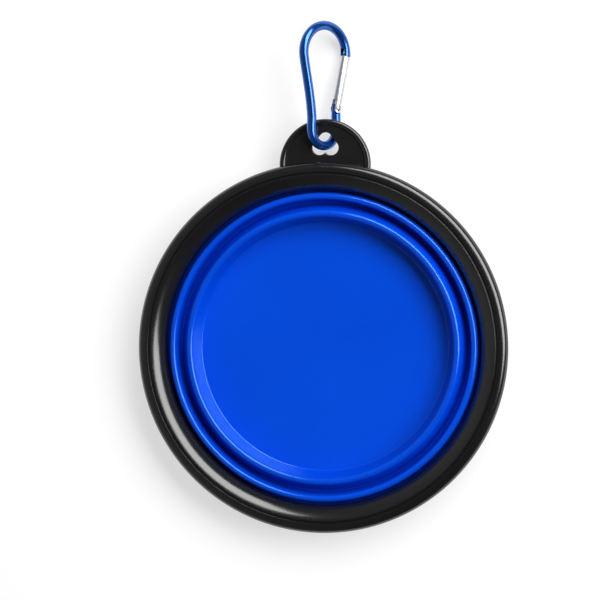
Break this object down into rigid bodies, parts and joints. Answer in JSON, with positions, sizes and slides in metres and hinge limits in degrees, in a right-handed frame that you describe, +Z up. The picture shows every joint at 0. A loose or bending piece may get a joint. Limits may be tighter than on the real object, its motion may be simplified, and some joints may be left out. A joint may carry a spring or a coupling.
{
  "type": "collapsible pet bowl",
  "caption": "Round travel bowl with a stiff rim and a pleated soft wall that folds flat, carried by a small sprung carabiner through a lobed hole in its hang tab",
  "frame": {"origin": "middle of the flat underside of the floor pan, where it rests on a table", "axes": "+Z up out of the open bowl, +Y towards the hang tab and carabiner, +X completes a right-handed frame"},
  "size_m": [0.13, 0.1792, 0.0171],
  "materials": {
    "rim_plastic": "satin black moulded plastic",
    "soft_bowl": "satin blue elastomer",
    "anodised_frame": "gloss blue anodised",
    "gate_aluminium": "bright drawn bar",
    "pin_steel": "bright",
    "spring_steel": "drawn wire"
  },
  "bodies": {
    "base": {"floor_pan": "soft_bowl", "lower_fold": "soft_bowl"},
    "middle": {"middle_wall": "soft_bowl", "upper_fold": "soft_bowl"},
    "rim": {"rim_ring": "rim_plastic", "rim_lip": "soft_bowl"},
    "carabiner": {"carabiner_frame": "anodised_frame", "gate_hinge_pin": "pin_steel"},
    "gate": {"carabiner_gate": "gate_aluminium", "gate_latch_pin": "pin_steel", "gate_spring": "spring_steel"},
    "plunger": {"gate_plunger": "pin_steel"}
  },
  "joints": [
    {"name": "lower_fold_lift", "type": "slide", "parent": "base", "child": "middle", "axis": [0, 0, 1], "range_m": [0, 0.0156], "deforming": ["lower_fold"]},
    {"name": "upper_fold_lift", "type": "slide", "parent": "middle", "child": "rim", "axis": [0, 0, 1], "range_m": [0, 0.0152], "deforming": ["upper_fold"]},
    {"name": "carabiner_roll", "type": "hinge", "parent": "rim", "child": "carabiner", "pos_m": [-0.0007, 0.0706, 0.00865], "axis": [0, 1, 0], "range_deg": [0, 74]},
    {"name": "gate_swing", "type": "hinge", "parent": "carabiner", "child": "gate", "pos_m": [0.00312, 0.0839, 0.00469], "axis": [0.7193, 0, 0.6947], "range_deg": [0, 24], "stiffness_Nm_per_rad": 0.004, "springref_deg": -85.94},
    {"name": "plunger_travel", "type": "slide", "parent": "gate", "child": "plunger", "axis": [0.1494, 0.9766, -0.1547], "range_m": [0, 0.0005], "stiffness_N_per_m": 20, "springref_m": -0.002, "deforming": ["gate_spring"]}
  ]
}
